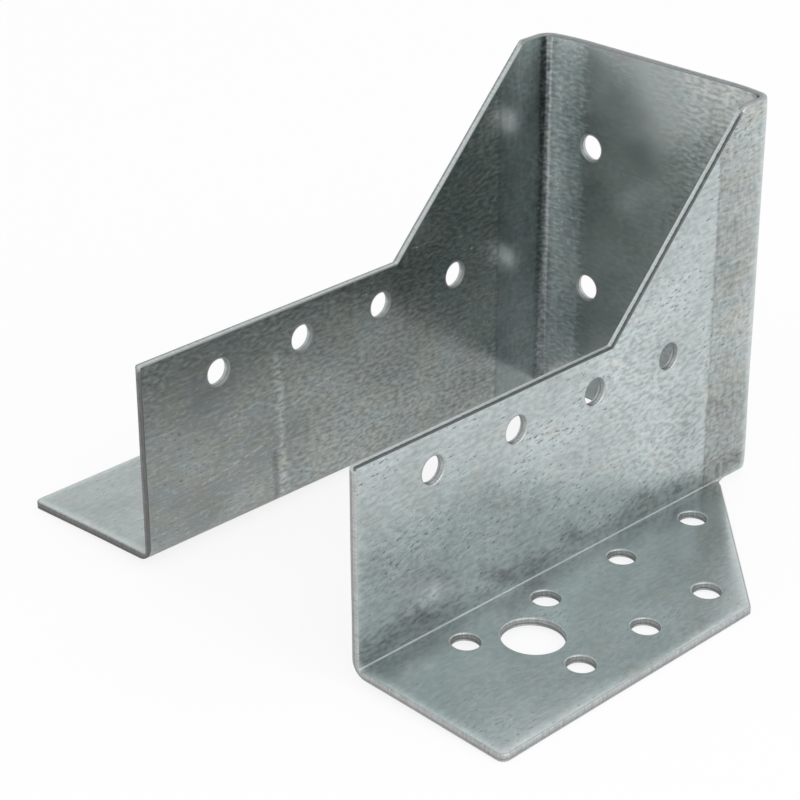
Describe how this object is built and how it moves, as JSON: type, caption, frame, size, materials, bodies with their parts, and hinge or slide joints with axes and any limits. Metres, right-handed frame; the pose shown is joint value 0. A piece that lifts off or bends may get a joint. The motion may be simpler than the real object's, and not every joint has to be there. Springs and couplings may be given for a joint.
{
  "type": "joist hanger",
  "caption": "Folded galvanised steel joist hanger: a U-shaped channel with tapered cheeks, a deep seat and outward header flanges punched for nails and bolts.",
  "frame": {"origin": "middle of the footprint's box, on the header plane that the undersides of both flanges lie on", "axes": "+Z off the header along the joist, +Y from the open end to the seat, +X across the joist; the part is the same on both sides of the plane X = 0"},
  "size_m": [0.118, 0.105, 0.075],
  "materials": {
    "galvanised_sheet": "hot-dip galvanised sheet, fine spangle, semi-dull"
  },
  "bodies": {
    "root": {"joist_hanger": "galvanised_sheet"}
  },
  "joints": []
}
